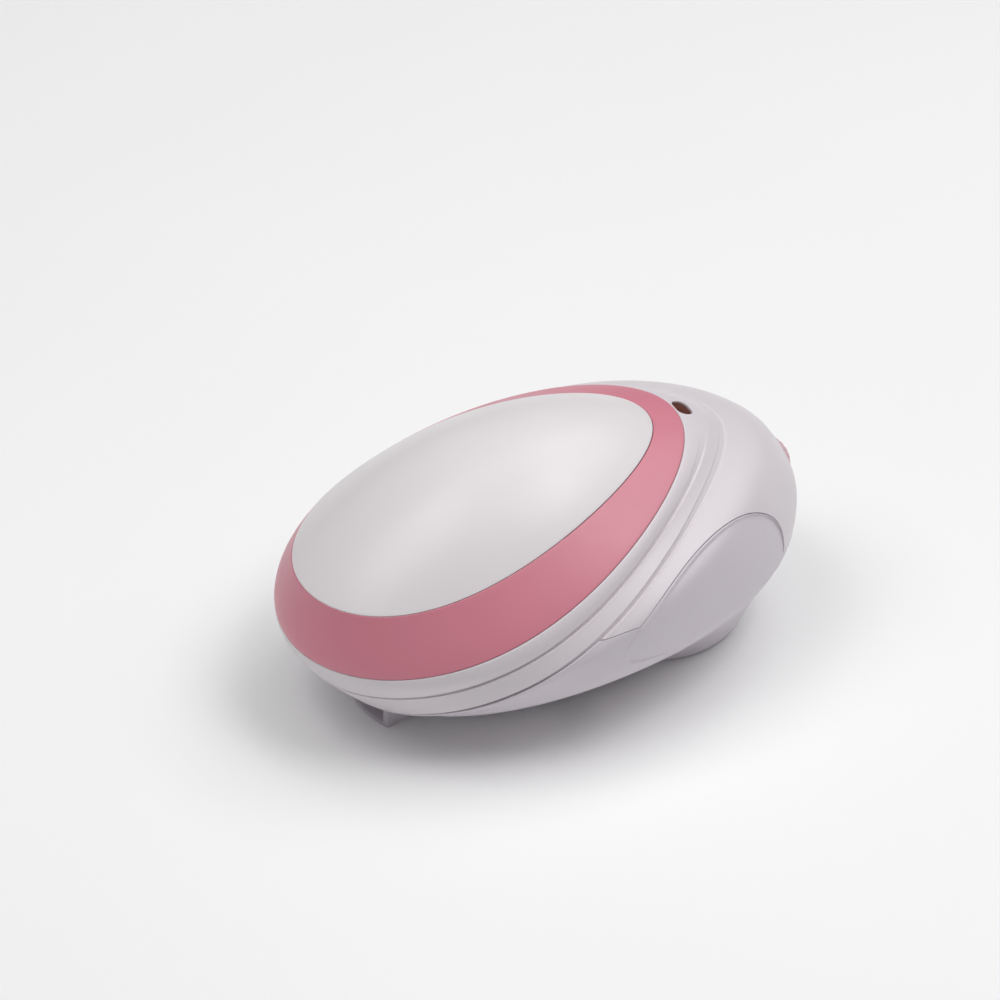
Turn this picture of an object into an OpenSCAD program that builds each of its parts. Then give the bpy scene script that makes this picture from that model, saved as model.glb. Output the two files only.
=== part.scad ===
/* [Overall size] */
// Length from the narrow end to the broad end
body_l = 97; // [96:0.5:100]
// Width across the widest place
body_w = 67; // [66:0.2:69]
// Height of the outer shell above the surface it stands on
body_h = 49; // [48.5:0.5:51]
// Wall thickness of the two housings
wall = 2; // [1.8:0.1:2.2]
// Width of the parting gaps between the shells
seam_gap = 0.2; // [0.16:0.02:0.3]

/* [Probe] */
// Radius of the round face that rests on the belly
face_r = 14; // [13.6:0.1:14.2]
// Thickness of the acoustic window
face_t = 1.6; // [1.2:0.1:1.8]
// Radius of the pair of half disc crystals
crystal_r = 10; // [8:0.5:10]

/* [Controls] */
// Radius of the thumbwheel
wheel_r = 10; // [9.4:0.1:10]
// Thickness of the thumbwheel
wheel_t = 2.8; // [2:0.1:3]
// Number of finger notches round the thumbwheel
wheel_notches = 36; // [24:2:48]
// Radius of the plug hole in each socket
plug_r = 1.8; // [1.76:0.01:1.85]
// Distance between the two sockets
plug_pitch = 12; // [11:0.5:13]

/* [Battery] */
// Length of the block battery
cell_l = 48.5; // [46:0.5:48.5]
// Width of the block battery
cell_w = 26.5; // [25:0.5:26.5]
// Thickness of the block battery
cell_h = 17.5; // [16:0.5:17.5]

/* [Mesh] */
// Number of steps around each shell
around = 72; // [60:12:96]

/* [Hidden] */

// Loft sections of the outer skin, from the cover's edge (0) down to the flat of the belly (8):
// front tip x, rear tip x, half width, egg factor, corner factor,
// front tip z, rear tip z, bow along the length, rise towards the sides
SEC = [
  [-45.7, 20.4, 20.7, -0.18,  0.000, 29.4, 43.8, 6.0, -5.5],
  [-48.5, 25.7, 28.7, -0.14,  0.008, 18.7, 42.9, 4.9, -5.6],
  [-45.1, 30.2, 30.0, -0.19,  0.018, 12.0, 41.2, 6.1, -4.4],
  [-39.6, 34.1, 31.8, -0.25,  0.020,  6.4, 38.8, 8.1, -3.3],
  [-38.4, 41.2, 33.15, -0.128, 0.010, 6.1, 35.85, 6.1, -1.3],
  [-37.4, 47.7, 32.35, -0.078, 0.015, 5.3, 28.85, 2.4, 0.3],
  [-36.0, 47.15, 29.85, -0.016, 0.001, 4.6, 18.55, 2.0, 1.2],
  [-33.6, 40.95, 25.65, -0.004, 0.0, 3.3, 9.0, 1.6, 2.4],
  [-30.6, 36.4, 17.0,  0.00,  0.000,  2.2,  2.2, 0.0,  0.0]
];
kx = body_l / 97; ky = body_w / 67; kz = body_h / 49;
n_sec = len(SEC) - 1;
function sec_at(i) = i < 0 ? 2 * SEC[0] - SEC[1] : i > n_sec ? 2 * SEC[n_sec] - SEC[n_sec - 1] : SEC[i];
// smooth curve through the sections
function sec(s) = let(i = min(max(floor(s), 0), n_sec - 1), f = s - i,
    a = sec_at(i - 1), b = sec_at(i), c = sec_at(i + 1), d = sec_at(i + 2))
    0.5 * (2 * b + (c - a) * f + (2 * a - 5 * b + 4 * c - d) * f * f + (3 * b - 3 * c + d - a) * f * f * f);
// a point of a section at angle t: 0 at the broad end, 180 at the narrow end
function sec_pt(q, t, r = 1) = let(
    x0 = (q[0] + q[1]) / 2, h = q[4],
    ex = x0 + r * (q[1] - q[0]) / 2 * (cos(t) + h * cos(3 * t)) / (1 + h),
    y = r * q[2] * (sin(t) - h * sin(3 * t)) / (1 + h) * (1 + q[3] * cos(t)),
    u = (ex - q[0]) / (q[1] - q[0]),
    z = q[5] + (q[6] - q[5]) * u + q[7] * 4 * u * (1 - u) + q[8] * (y / q[2]) * (y / q[2]))
    [kx * ex, ky * y, kz * z];
function fold(t) = abs(t > 180 ? 360 - t : t);
// shallow hollow round the thumbwheel
dent_d = 1.1;
function dent(s, t) = dent_d * exp(-pow(fold(t) / 17, 4) - pow((s - 5.05) / 0.6, 4));
function skin(s, t) = let(p = sec_pt(sec(s), t)) p - [dent(s, t), 0, 0];
// a point w deeper, towards a line inside the body
function core(p) = [0.6 * p[0], 0, 16 + 0.15 * p[0]];
function deeper(p, w) = let(d = p - core(p)) p - w * d / norm(d);
// crowned cover above the first section
crown = 5;
function cover_pt(r, t, dz = 0) = let(p = sec_pt(sec(0), t, r)) [p[0], p[1], p[2] + kz * crown * (1 - pow(r, 2.2)) + dz];

function smooth(a) = let(c = min(max(a, 0), 1)) c * c * (3 - 2 * c);
// parting line of the two housings: along the third section, then an arch over each side grip
function arch(a) = 3.51 + 0.00085 * pow(a - 68.5, 2) + 0.315 * exp((43.8 - a) / 3.3) + 1.7 / (1 + exp((a - 40.5) / 0.35));
function seam(t) = let(a = max(fold(t), 25), u = min(max((a - 88.8) / 6.4, 0), 1), raw = 3 + (arch(a) - 3) * (1 - u))
    5.9 - 0.25 * ln(1 + exp((5.9 - raw) / 0.25));
// the two edges at the parting gap, above and below the line; side is its half width as an angle, for where the line is steep
side = 0.4;
function edge_above(t) = min(seam(t), seam(fold(t) + side)) - seam_gap / 8;
function edge_below(t) = max(seam(t), seam(fold(t) - side)) + seam_gap / 8;

// closed tube from a list of loops, each with the same number of points
function tube_faces(m, n) = [for (i = [0:m - 1], j = [0:n - 1], k = [0:1])
    let(a = i * n + j, b = i * n + (j + 1) % n, c = ((i + 1) % m) * n + (j + 1) % n, d = ((i + 1) % m) * n + j)
    k == 0 ? [a, b, c] : [a, c, d]];
// closed skin from loops with a pole point before the first and after the last
function pole_faces(m, n) = concat(
    [for (j = [0:n - 1]) [m * n, (j + 1) % n, j]],
    [for (i = [0:m - 2], j = [0:n - 1], k = [0:1])
        let(a = i * n + j, b = i * n + (j + 1) % n, c = (i + 1) * n + (j + 1) % n, d = (i + 1) * n + j)
        k == 0 ? [a, b, c] : [a, c, d]],
    [for (j = [0:n - 1]) [m * n + 1, (m - 1) * n + j, (m - 1) * n + (j + 1) % n]]);
function flat(l) = [for (a = l) each a];
// even steps, and a few more where the parting line runs down the rear end of each grip
TX = [40.6, 41.3, 42.3, 43.5, 316.5, 317.7, 318.7, 319.4];
TT = [for (j = [0:around - 1]) let(u = 360 * j / around, v = 360 * (j + 1) / around) each concat([u], [for (e = TX) if (e > u && e < v) e])];
TB = [for (t = TT) 360 - t]; // the other way round, for skins built from below
n_t = len(TT);

// thin wire through hand set points, as a swept tube with rounded corners
function wire_at(p, s) = let(n = len(p) - 1, i = min(floor(s), n - 1), f = s - i,
    a = i > 0 ? p[i - 1] : 2 * p[0] - p[1], b = p[i], c = p[i + 1], d = i + 2 <= n ? p[i + 2] : 2 * p[n] - p[n - 1])
    0.5 * (2 * b + (c - a) * f + (2 * a - 5 * b + 4 * c - d) * f * f + (3 * b - 3 * c + d - a) * f * f * f);
module wire(p, r, sides = 8, per = 4) {
  n = (len(p) - 1) * per;
  c = [for (k = [0:n]) wire_at(p, k / per)];
  rings = [for (k = [0:n]) let(
      tg = k == 0 ? c[1] - c[0] : k == n ? c[n] - c[n - 1] : c[k + 1] - c[k - 1],
      w = tg / norm(tg), ref = [0.31, 0.95, 0.05], u0 = cross(ref, w), u = u0 / norm(u0), v = cross(w, u))
      [for (j = [0:sides - 1]) c[k] + r * (cos(360 * j / sides) * u - sin(360 * j / sides) * v)]];
  polyhedron(concat(flat(rings), [c[0], c[n]]), pole_faces(n + 1, sides), 4);
}
module rrect(l, w, r) { // flat shape with round corners
  square([l - 2 * r, w], center = true);
  square([l, w - 2 * r], center = true);
  for (a = [-1, 1], b = [-1, 1]) translate([a * (l / 2 - r), b * (w / 2 - r)]) circle(r = r, $fn = 32);
}
module block(a, b) { translate(a) cube(b - a); } // box from corner a to corner b

// places
probe_x = 22.3;
hole_r = face_r + 0.9; neck_r = 15.73;
door_x1 = 4.2; door_x0 = -35.6; door_w = 28.4; door_r = 4; hinge_z = 2.2 * kz;
cell_x0 = -27.5; cell_x1 = cell_x0 + cell_l; cell_z0 = 9; cell_z1 = cell_z0 + cell_h;
tray_t = 1.3; tray_z0 = 8.6; tray_top = 28.1;
board_z = 30; board_t = 1.6; board_top = board_z + board_t;
wheel_x = 48.2 - wheel_r; wheel_z = 25.2;
jack_a = 45; jack_face = [-41.9, 0, 9.3];
led_p = [27.2 * kx, 0, 42.3 * kz]; led_a = 20;
// screw places
case_at = [[-4, 19.2, 20]];
tray_at = [[-22, 19.6], [14, 19.6]];
board_at = [[-22, 12.4], [17, 12.4]];

// the inside of the body, w deeper than the outer skin
module inside_body(w) {
  rows = [for (s = [0, 0.4, 1, 1.5, 2, 2.5, 3, 3.5, 4, 4.5, 5, 5.5, 6, 6.5, 7, 7.5, 8]) [for (t = TT) s == 8 ? sec_pt(sec(8), t, 0.94) + [0, 0, w] : deeper(skin(s, t), w)]];
  polyhedron(concat(flat(rows), [cover_pt(0, 0, -w), sec_pt(sec(8), 0, 0) + [0, 0, w]]), pole_faces(len(rows), n_t), 4);
}
module top_cover() {
  rs = [0.25, 0.5, 0.72, 0.88, 0.96, 0.996];
  outer = [for (r = rs) [for (t = TT) cover_pt(r, t)]];
  inner = [for (i = [len(rs) - 1:-1:0]) [for (t = TT) cover_pt(rs[i], t, -2)]];
  rows = concat(outer, inner);
  color("whitesmoke") polyhedron(concat(flat(rows), [cover_pt(0, 0), cover_pt(0, 0, -2)]), pole_faces(len(rows), n_t), 4);
}
module trim_ring() {
  ss = [0.015, 0.1, 0.3, 0.55, 0.8, 0.985];
  outer = [for (s = ss) [for (t = TT) skin(s, t)]];
  inner = [for (i = [len(ss) - 1:-1:1]) [for (t = TT) deeper(skin(ss[i], t), 1.7)]];
  ledge = [for (r = [0.985, 0.93]) [for (t = TT) cover_pt(r, t, -3.4)]];
  lip = [for (r = [0.93, 1.002]) [for (t = TT) cover_pt(r, t, -2.15)]];
  rows = concat(outer, inner, ledge, lip);
  color([0.85, 0.55, 0.6]) polyhedron(flat(rows), tube_faces(len(rows), n_t), 4);
}
module upper_shell() {
  fs = [0, 0.1, 0.25, 0.42, 0.6, 0.78, 0.92, 1];
  function at(f, t) = skin(1.015 + (edge_above(t) - 1.015) * f, t);
  outer = [for (f = fs) [for (t = TT) at(f, t)]];
  inner = [for (i = [len(fs) - 1:-1:1]) [for (t = TT) deeper(at(fs[i], t), wall)]];
  under = [for (s = [0.9, 0.6, 0.3]) [for (t = TT) deeper(skin(s, t), 3.5)]];
  deck = concat([for (r = [0.97, 0.8]) [for (t = TT) cover_pt(r, t, -5.4)]],
                [for (r = [0.8, 0.975]) [for (t = TT) cover_pt(r, t, -3.9)]]);
  top = [for (q = [[0.3, 2.5], [0.6, 2.1], [0.985, 2]]) [for (t = TT) deeper(skin(q[0], t), q[1])]];
  rows = concat(outer, inner, under, deck, top);
  polyhedron(flat(rows), tube_faces(len(rows), n_t), 4);
}
module jack_place(side) { // z runs out of the body along the plug's way
  translate([jack_face[0], side * plug_pitch / 2, jack_face[2]]) rotate([0, 180 + jack_a, 0]) children();
}
module led_place() { translate(led_p) rotate([0, led_a, 0]) children(); }
module upper_housing() {
  color("white") difference() {
    union() {
      upper_shell();
      intersection() {
        inside_body(1);
        for (p = case_at, m = [-1, 1]) translate([p[0], m * p[1], p[2] + 0.1]) cylinder(r = 2.8, h = 15, $fn = 40);
      }
    }
    // thumbwheel slot
    block([44, -7.6, wheel_z - 0.5], [54, 7.6, wheel_z + wheel_t + 0.5]);
    translate([wheel_x, 0, wheel_z - 0.5]) cylinder(r = wheel_r + 0.4, h = wheel_t + 1, $fn = 96);
    for (side = [-1, 1]) jack_place(side) translate([0, 0, -8]) cylinder(r = 3.1, h = 16, $fn = 48);
    led_place() translate([0, 0, -5]) linear_extrude(8) rrect(2.8, 4, 0.9);
    for (p = case_at, m = [-1, 1]) translate([p[0], m * p[1], p[2] - 1]) cylinder(r = 0.85, h = 7.5, $fn = 32);
  }
}
module lower_shell(inset = 0) {
  fs = [1, 0.88, 0.72, 0.55, 0.38, 0.2, 0.08, 0];
  function at(f, t) = let(s0 = edge_below(t)) skin(s0 + (8 - s0) * f, t);
  outer = concat([for (r = [0.35, 0.7]) [for (t = TB) sec_pt(sec(8), t, r)]], [for (f = fs) [for (t = TB) at(f, t)]]);
  inner = [for (i = [len(outer) - 1:-1:0]) [for (p = outer[i]) i < 4 ? p + [0, 0, wall] : deeper(p, wall)]];
  rows = concat(outer, inner);
  c = sec_pt(sec(8), 0, 0);
  polyhedron(concat(flat(rows), [c, c + [0, 0, wall]]), pole_faces(len(rows), n_t), 4);
}
module door_outline(gap = 0) { // seen from above
  translate([(door_x0 + door_x1) / 2, 0]) rrect(door_x1 - door_x0 - 2 * gap, door_w - 2 * gap, door_r);
}
// flared neck round the probe, a wall that grows out of the belly
module probe_neck() {
  difference() {
    rotate_extrude($fn = 96) polygon([[hole_r - 1, 0.5], [neck_r - 0.1, 0.5], [neck_r + 0.2, 0.65], [neck_r + 0.38, 1],
      [neck_r + 2.1, 5], [neck_r + 2.5, 10.3], [neck_r + 0.4, 10.3], [hole_r - 1, 6]]);
    // inside, it ends just over the floor towards the battery, and lower beside the tray
    block([-30, -30, 3.9], [-10.5, 30, 14]);
    block([-11, -30, 7.7], [4.5, 30, 14]);
  }
}
module lower_housing() {
  color("gainsboro") difference() {
    union() {
      lower_shell();
      translate([probe_x, 0, 0]) probe_neck();
      intersection() {
        inside_body(1);
        union() {
          for (p = case_at, m = [-1, 1]) translate([p[0], m * p[1], 2]) cylinder(r = 3.3, h = p[2] - 2.1, $fn = 40);
          for (p = tray_at, m = [-1, 1]) translate([p[0], m * p[1], 2]) cylinder(r = 2.6, h = 13.9, $fn = 40);
          for (m = [-1, 1]) translate([38.6, m * 12 - 2, 10]) cube([9, 4, 5.5]);
        }
      }
      // tongues that hook behind the upper housing's rear wall
      for (m = [-1, 1]) translate([38.6, m * 12 - 2, 12]) cube([1.1, 4, 10]);
    }
    translate([probe_x, 0, -1]) cylinder(r = hole_r + 0.1, h = 12, $fn = 96);
    translate([0, 0, -1]) linear_extrude(11) door_outline();
    for (p = case_at, m = [-1, 1]) translate([p[0], m * p[1], -1]) {
      cylinder(r = 1.15, h = 40, $fn = 32);
      cylinder(r = 2.3, h = 13.5, $fn = 32);
    }
    for (p = tray_at, m = [-1, 1]) translate([p[0], m * p[1], 9.9]) cylinder(r = 0.85, h = 10, $fn = 32);
  }
}
module led_window() {
  color([0.3, 0.08, 0.06]) led_place() translate([0, 0, -1.9]) {
    linear_extrude(1.8) rrect(2.6, 3.8, 0.8);
    translate([0, 0, -0.9]) linear_extrude(0.9) rrect(2.6, 3.8, 0.8);
  }
}

// battery bay
module catch_wall() { // scooped finger catch under the narrow end, also the front foot
  R = 20.9; w = 8.7;
  difference() {
    intersection() {
      translate([-36.1 + R, 0, 0]) cylinder(r = R, h = 5.6, $fn = 128);
      block([-37, -w, 0], [-28.6, w, 5.6]);
      rotate([90, 0, 0]) linear_extrude(2 * w + 2, center = true)
        polygon([[-37, 0], [-34.2, 0], [-29.4, 1.55], [-28.7, 2.35], [-28.6, 3.2], [-28.6, 5.6], [-37, 5.6]]);
    }
    intersection() {
      translate([-36.1 + R, 0, 0.8]) cylinder(r = R + 2, h = 8, $fn = 128);
      block([-39, -w + 0.9, 0.8], [-31.4, w - 0.9, 8]);
    }
  }
}
module battery_door() {
  color("gainsboro") union() {
    intersection() {
      lower_shell();
      translate([0, 0, -1]) linear_extrude(11) door_outline(0.25);
    }
    difference() {
      catch_wall();
      translate([0, 0, 3.6]) block([-40, -20, 0], [-34.6, 20, 8]);
    }
    for (y = [-8, 8]) {
      block([1.4, y - 2, 3.8], [3.8, y + 2, 5.7]);
      block([1.4, y - 2, 4.5], [5.8, y + 2, 5.7]);
    }
    // spring tongue of the front latch
    block([-31.2, -5, 3.9], [-30, 5, 8]);
    for (y = [-10.6, 10.6]) block([-24, y - 0.6, 3.8], [0, y + 0.6, 6]);
  }
}
module battery_pad() {
  color([0.2, 0.2, 0.22]) translate([-12, 0, 4.3]) linear_extrude(4.5) rrect(26, 19, 2);
}
module battery_tray() {
  y1 = cell_w / 2 + 0.4;
  color("dimgray") difference() {
    union() {
      block([cell_x0 - 0.5 - tray_t, -y1 - tray_t, tray_z0], [cell_x1 + 0.3, y1 + tray_t, tray_top]);
      for (p = tray_at, m = [-1, 1]) {
        translate([p[0], m * p[1], 16]) cylinder(r = 2.8, h = 2, $fn = 40);
        translate([p[0], m * (p[1] + y1) / 2, 17]) cube([5.6, p[1] - y1 + 0.01, 2], center = true);
      }
      for (p = board_at, m = [-1, 1]) translate([p[0], m * p[1], tray_top - 0.2]) cylinder(r = 2.1, h = board_z - tray_top + 0.2 - 0.02, $fn = 32);
    }
    block([cell_x0 - 0.5, -y1, tray_z0 - 1], [cell_x1 + 2, y1, cell_z1 + 0.3]);
    block([cell_x0 + 12, -8, 20], [cell_x1 - 10, 8, 40]);
    for (p = tray_at, m = [-1, 1]) translate([p[0], m * p[1], 10]) cylinder(r = 1.25, h = 12, $fn = 32);
    for (p = board_at, m = [-1, 1]) translate([p[0], m * p[1], 24]) cylinder(r = 0.8, h = 10, $fn = 32);
  }
}
module battery_9v() {
  color([0.25, 0.27, 0.3]) translate([cell_x0, 0, (cell_z0 + cell_z1) / 2]) rotate([90, 0, 90]) {
    translate([0, 0, 0]) linear_extrude(1.2) rrect(cell_w - 0.8, cell_h - 0.8, 1.6);
    translate([0, 0, 1.2]) linear_extrude(cell_l - 2.4) rrect(cell_w, cell_h, 2);
    translate([0, 0, cell_l - 1.2]) linear_extrude(1.2) rrect(cell_w - 0.8, cell_h - 0.8, 1.6);
  }
}
module battery_terminals() {
  color("silver") translate([cell_x1 + 0.02, 0, (cell_z0 + cell_z1) / 2]) rotate([0, 90, 0]) {
    translate([0, -6.35, 0]) { cylinder(r = 2.85, h = 2.6, $fn = 40); cylinder(r = 3.9, h = 0.5, $fn = 40); }
    translate([0, 6.35, 0]) difference() { cylinder(r = 4.1, h = 2.4, $fn = 6); translate([0, 0, 0.6]) cylinder(r = 2.8, h = 4, $fn = 40); }
  }
}
module battery_snap() {
  color([0.12, 0.12, 0.13]) translate([cell_x1 + 2.7, 0, (cell_z0 + cell_z1) / 2]) rotate([90, 0, 90]) difference() {
    linear_extrude(2.2) rrect(25.5, 12.6, 3);
    for (y = [-6.35, 6.35]) translate([y, 0, -1]) cylinder(r = 1.6, h = 2, $fn = 32);
    for (y = [-3, 3]) translate([y, 0.05, 1.2]) cylinder(r = 0.85, h = 2, $fn = 24);
  }
}
module battery_lead_red() {
  color("red") wire([[25.2, 3, 17.8], [26.2, 3, 17.8], [27.6, 4, 19], [28.2, 7, 21.5], [28, 11.6, 23.5], [26.5, 13, 26], [26, 13, 27.2]], 0.65);
}
module battery_lead_black() {
  color([0.1, 0.1, 0.1]) wire([[25.2, -3, 17.8], [26.2, -3, 17.8], [27.5, -1.5, 20.5], [28.6, 3, 24], [27.4, 9.4, 25.4], [24.6, 11.2, 26.2], [24, 11.4, 27.2]], 0.65);
}

// probe
module probe_housing() {
  color("lightgray") translate([probe_x, 0, 0]) {
    rotate_extrude($fn = 96) polygon([
      [face_r + 0.06, 0.5], [hole_r - 0.35, 0.5], [hole_r, 0.9], [hole_r, 7.9], [face_r - 3, 7.9],
      [face_r - 3, 6.9], [face_r - 0.6, 6.9], [face_r - 0.6, face_t + 0.4], [face_r + 0.06, face_t + 0.4]]);
  }
}
module probe_face() {
  color([0.8, 0.83, 0.86]) translate([probe_x, 0, 0]) {
    cylinder(r1 = face_r - 0.5, r2 = face_r, h = 0.5, $fn = 96);
    translate([0, 0, 0.5]) cylinder(r = face_r, h = face_t - 0.5, $fn = 96);
  }
}
module probe_seal() {
  color([0.15, 0.15, 0.15]) translate([probe_x, 0, face_t + 0.75]) rotate_extrude($fn = 48) translate([face_r - 1.5, 0]) circle(r = 0.7, $fn = 12);
}
module half_disc(m) { intersection() { cylinder(r = crystal_r, h = 1.9, $fn = 64); translate([m > 0 ? 0.5 : -20.5, -20, -1]) cube([20, 40, 5]); } }
module crystal_transmit() { color([0.85, 0.7, 0.3]) translate([probe_x, 0, face_t + 0.02]) half_disc(1); }
module crystal_receive() { color([0.85, 0.7, 0.3]) translate([probe_x, 0, face_t + 0.02]) half_disc(-1); }
module probe_backing() { color([0.35, 0.3, 0.28]) translate([probe_x, 0, face_t + 1.96]) cylinder(r = crystal_r + 0.3, h = 2.4, $fn = 64); }
module probe_shield() {
  color([0.75, 0.6, 0.35]) translate([probe_x, 0, 0]) difference() {
    translate([0, 0, face_t + 0.02]) cylinder(r = crystal_r + 0.9, h = 5.3, $fn = 64);
    translate([0, 0, 0]) cylinder(r = crystal_r + 0.4, h = face_t + 4.5, $fn = 64);
    translate([5.2, -3.6, 0]) cylinder(r = 1.1, h = 12, $fn = 32);
  }
}
module probe_cable() {
  color([0.2, 0.2, 0.22]) wire([[27.5, -3.6, 6.2], [27.7, -4, 9], [28.8, -6, 14], [29.6, -8.6, 20], [30, -10.4, 24.6], [30, -10.8, 27.2]], 0.9);
}

// electronics
module main_board() {
  color([0.1, 0.4, 0.2]) translate([0, 0, board_z]) difference() {
    linear_extrude(board_t) difference() {
      union() {
        translate([-26, -16]) square([50, 32]);
        translate([24, 0]) circle(r = 16, $fn = 96);
        translate([30, -5]) square([8.2, 10]);
        translate([wheel_x, 0]) circle(r = 3.3, $fn = 48);
      }
      translate([27.2, 0]) circle(r = 0.6, $fn = 24);
    }
    for (p = board_at, m = [-1, 1]) translate([p[0], m * p[1], -1]) cylinder(r = 1.2, h = 4, $fn = 32);
    translate([wheel_x, 0, -1]) cylinder(r = 1.9, h = 4, $fn = 32);
  }
}
module controller_chip() {
  color([0.12, 0.12, 0.13]) translate([-2, 0, board_top]) {
    block([-4.5, -4.5, 0.15], [4.5, 4.5, 1.5]);
    for (k = [-5:5], a = [0:90:270]) rotate([0, 0, a]) block([4.4, k * 0.75 - 0.14, 0.02], [5.6, k * 0.75 + 0.14, 0.5]);
  }
}
module amplifier_chip() {
  color([0.12, 0.12, 0.13]) translate([-16, 5, board_top]) {
    block([-2.5, -2, 0.15], [2.5, 2, 1.6]);
    for (k = [-1.5:1:1.5], m = [-1, 1]) block([k * 1.27 - 0.2, min(m * 1.9, m * 3), 0.02], [k * 1.27 + 0.2, max(m * 1.9, m * 3), 0.6]);
  }
}
module clock_crystal() { color("silver") translate([2, -10, board_top + 0.02]) { linear_extrude(0.5) rrect(11.4, 4.8, 2.2); linear_extrude(3.4) rrect(10.6, 4, 1.95); } }
module capacitors() {
  color([0.2, 0.25, 0.45]) for (p = [[-18, -8, 2.5, 6.5], [-11, -10, 2, 5.4], [4.4, 11, 2.5, 6], [-6, 10, 2, 5.4]])
    translate([p[0], p[1], board_top + 0.02]) { cylinder(r = p[2], h = p[3], $fn = 36); block([-p[2] - 0.3, -p[2] - 0.3, 0], [p[2] + 0.3, p[2] + 0.3, 0.5]); }
}
module chip_parts() { // small surface mounted resistors and capacitors
  color([0.6, 0.5, 0.4]) for (i = [0:7]) translate([-15.8 + 4.2 * i, i % 2 == 0 ? -14.7 : 14.7, board_top + 0.02]) block([-1, -0.6, 0], [1, 0.6, 0.6]);
}
module shield_can() {
  color("silver") translate([15, 0, board_top + 0.02]) difference() {
    linear_extrude(3.2) rrect(14, 16, 1);
    translate([0, 0, -1]) linear_extrude(3.8) rrect(13.2, 15.2, 0.8);
  }
}
module choke_coil() {
  color([0.7, 0.4, 0.2]) translate([24, -10.5, board_top + 0.02]) difference() { cylinder(r = 3.2, h = 3, $fn = 40); translate([0, 0, 0.8]) cylinder(r = 1, h = 4, $fn = 24); }
}
module battery_socket() { color("ivory") block([22.6, 10, 27.3], [27.6, 14.4, board_z - 0.02]); }
module probe_socket() { color("ivory") block([27.8, -12.6, 27.3], [32, -9, board_z - 0.02]); }
module status_led() {
  color([0.8, 0.15, 0.1]) translate([27.2, 0, board_top]) {
    for (y = [-0.6, 0.6]) translate([0, y, 0.02]) cylinder(r = 0.25, h = 2.2, $fn = 16);
    translate([0, 0, 2]) cylinder(r = 1.9, h = 0.8, $fn = 32);
    translate([0, 0, 2.4]) cylinder(r = 1.5, h = 3.2, $fn = 32);
    translate([0, 0, 5.6]) sphere(r = 1.5, $fn = 32);
  }
}

// thumbwheel
module volume_wheel() {
  color([0.87, 0.6, 0.65]) translate([wheel_x, 0, wheel_z]) difference() {
    union() {
      translate([0, 0, 0.3]) cylinder(r = wheel_r, h = wheel_t - 0.6, $fn = 96);
      cylinder(r = wheel_r - 0.35, h = wheel_t, $fn = 96);
    }
    translate([0, 0, -1]) cylinder(r = 1.5, h = wheel_t + 2, $fn = 40);
    translate([0, 0, -1]) difference() { cylinder(r = wheel_r - 2.4, h = 1.7, $fn = 64); cylinder(r = 4, h = 3, $fn = 48); }
    for (k = [0:wheel_notches - 1]) rotate([0, 0, 360 * k / wheel_notches]) translate([wheel_r + 0.32, 0, -1]) cylinder(r = 0.6, h = wheel_t + 2, $fn = 10);
  }
}
module pot_rotor() {
  color("silver") translate([wheel_x, 0, 0]) difference() {
    union() {
      translate([0, 0, wheel_z - 0.2]) cylinder(r = 1.5, h = board_z + 0.9 - wheel_z, $fn = 40);
      translate([0, 0, wheel_z + wheel_t + 0.02]) cylinder(r = 2.6, h = 0.3, $fn = 40);
    }
    translate([0, 0, wheel_z - 1]) cylinder(r = 0.7, h = 3.6, $fn = 24);
  }
}
module wheel_screw() {
  color("gray") translate([wheel_x, 0, 0]) difference() {
    union() {
      translate([0, 0, wheel_z - 1.5]) cylinder(r = 2.4, h = 1.25, $fn = 40);
      translate([0, 0, wheel_z - 0.4]) cylinder(r = 0.7, h = 2.4, $fn = 24);
    }
    translate([-2, -0.3, wheel_z - 1.6]) cube([4, 0.6, 0.6]);
    translate([-0.3, -2, wheel_z - 1.6]) cube([0.6, 4, 0.6]);
  }
}
module volume_pot() {
  color([0.25, 0.25, 0.27]) translate([wheel_x, 0, 0]) difference() {
    union() {
      translate([0, 0, wheel_z + wheel_t + 0.4]) cylinder(r = 4.2, h = board_z - wheel_z - wheel_t - 0.42, $fn = 48);
      block([-6.6, -2.4, board_z - 0.9], [-3, 2.4, board_z - 0.02]);
    }
    translate([0, 0, 20]) cylinder(r = 1.55, h = 20, $fn = 40);
  }
}

// sockets under the narrow end
module jack(side) {
  jack_place(side) difference() {
    union() {
      translate([0, 0, -6]) cylinder(r = 2.9, h = 4.8, $fn = 48);
      translate([0, 0, -12]) linear_extrude(7) rrect(6.4, 6.6, 0.6);
    }
    translate([0, 0, -11.4]) cylinder(r = plug_r, h = 12, $fn = 48);
  }
}
module headphone_jack() { color([0.13, 0.13, 0.14]) jack(-1); }
module recorder_jack() { color([0.13, 0.13, 0.14]) jack(1); }
module jack_board() {
  color([0.1, 0.4, 0.2]) translate([jack_face[0], 0, jack_face[2]]) rotate([0, 180 + jack_a, 0]) translate([0, 0, -13.05]) linear_extrude(1) rrect(7, plug_pitch + 8, 0.6);
}
module jack_leads() {
  color([0.85, 0.85, 0.85]) for (k = [-1:1]) wire([[-33.3, 1.6 * k, 19.6], [-32.2, 1.6 * k, 21.6], [-31.6, 1.6 * k, 24.4], [-31, 1.6 * k, 28.6], [-28.6, 1.6 * k, 30.6], [-26.1, 1.6 * k, 30.8]], 0.45, 8, 3);
}

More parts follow.
